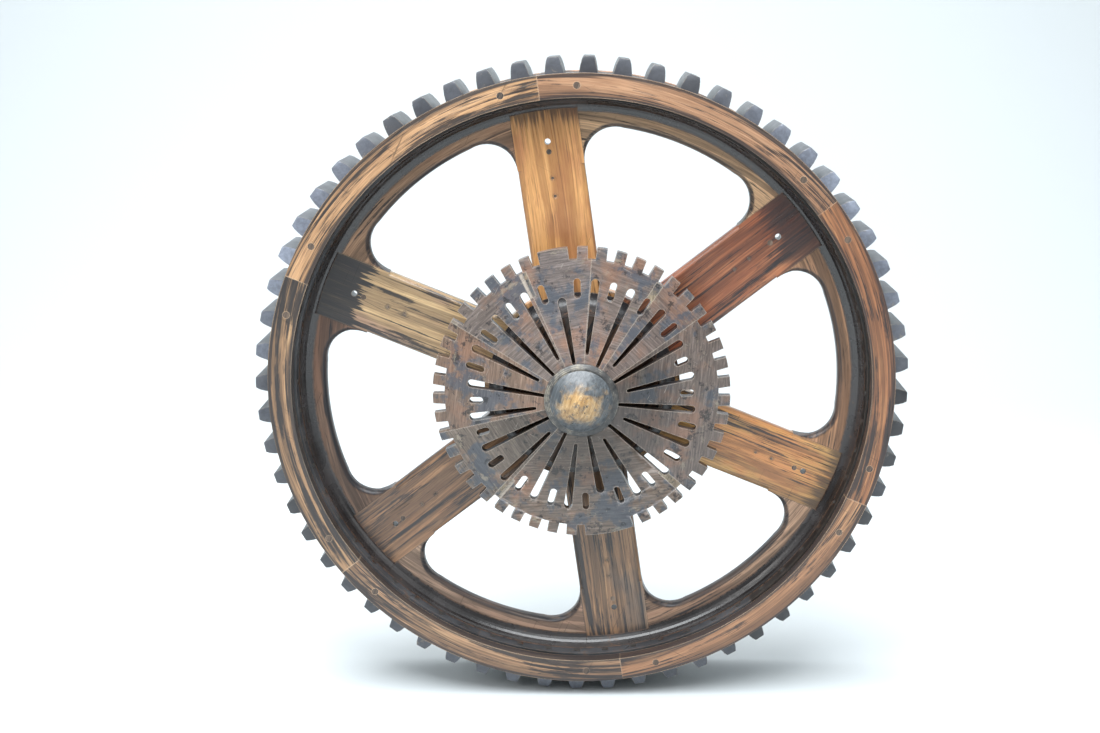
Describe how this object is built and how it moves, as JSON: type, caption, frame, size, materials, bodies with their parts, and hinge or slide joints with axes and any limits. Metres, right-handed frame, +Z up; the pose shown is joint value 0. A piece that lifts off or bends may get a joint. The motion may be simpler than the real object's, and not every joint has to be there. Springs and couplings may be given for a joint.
{
  "type": "wooden gear pattern wheel",
  "caption": "Six-arm wooden foundry gear wheel with block teeth, carrying a slotted, toothed, dished disc that turns on a spindle in front of the hub.",
  "frame": {"origin": "on the wheel's axis at the middle of the web, inside the hub bore", "axes": "+Y along the axis from front to back, +Z up, +X to the right seen from the front; the slotted disc is on the -Y side"},
  "size_m": [0.987, 0.211, 0.987],
  "materials": {
    "rim_face": "waxed, worn satin",
    "rim_core": "black painted, worn",
    "rim_back": "waxed, worn satin",
    "web": "dark stained, rubbed",
    "arm_wood": "waxed, worn satin",
    "tooth_paint": "slate-black paint on wood, worn",
    "fillet_black": "glossy black paint",
    "hub_wood": "dark stained",
    "disc_wood": "grey-brown stained, worn",
    "inlay_wood": "pale, dry",
    "backing_wood": "dark stained",
    "dome_wood": "waxed, rubbed bright",
    "flange_wood": "blue-grey stained",
    "plug_wood": "grey-brown",
    "screw_iron": "blackened",
    "spindle_iron": "turned",
    "bush_brass": "dull"
  },
  "bodies": {
    "wheel": {"rim_front_1": "rim_face", "rim_front_2": "rim_face", "rim_front_3": "rim_face", "rim_front_4": "rim_face", "rim_front_5": "rim_face", "rim_front_6": "rim_face", "rim_core_1": "rim_core", "rim_core_2": "rim_core", "rim_core_3": "rim_core", "rim_core_4": "rim_core", "rim_core_5": "rim_core", "rim_core_6": "rim_core", "rim_back_1": "rim_back", "rim_back_2": "rim_back", "rim_back_3": "rim_back", "rim_back_4": "rim_back", "rim_back_5": "rim_back", "rim_back_6": "rim_back", "web_segment_1": "web", "web_segment_2": "web", "web_segment_3": "web", "web_segment_4": "web", "web_segment_5": "web", "web_segment_6": "web", "arm_1": "arm_wood", "arm_2": "arm_wood", "arm_3": "arm_wood", "arm_4": "arm_wood", "arm_5": "arm_wood", "arm_6": "arm_wood", "teeth_1": "tooth_paint", "teeth_2": "tooth_paint", "teeth_3": "tooth_paint", "teeth_4": "tooth_paint", "teeth_5": "tooth_paint", "teeth_6": "tooth_paint", "tooth_screws": "screw_iron", "cove_front": "fillet_black", "cove_back": "fillet_black", "arm_plugs": "plug_wood", "rim_plugs": "plug_wood", "hub_front": "hub_wood", "hub_back": "hub_wood", "hub_screws": "screw_iron", "spindle": "spindle_iron", "thrust_washer": "bush_brass", "spindle_cap": "spindle_iron"},
    "disc": {"disc_sector_1": "disc_wood", "disc_sector_2": "disc_wood", "disc_sector_3": "disc_wood", "disc_sector_4": "disc_wood", "disc_sector_5": "disc_wood", "disc_sector_6": "disc_wood", "disc_sector_7": "disc_wood", "disc_sector_8": "disc_wood", "disc_inlays": "inlay_wood", "disc_backing": "backing_wood", "disc_bush": "bush_brass", "dome_flange": "flange_wood", "dome_boss": "dome_wood"}
  },
  "joints": [
    {"name": "disc_turn", "type": "hinge", "parent": "wheel", "child": "disc", "pos_m": [0, 0, 0], "axis": [0, 1, 0], "continuous": true}
  ]
}
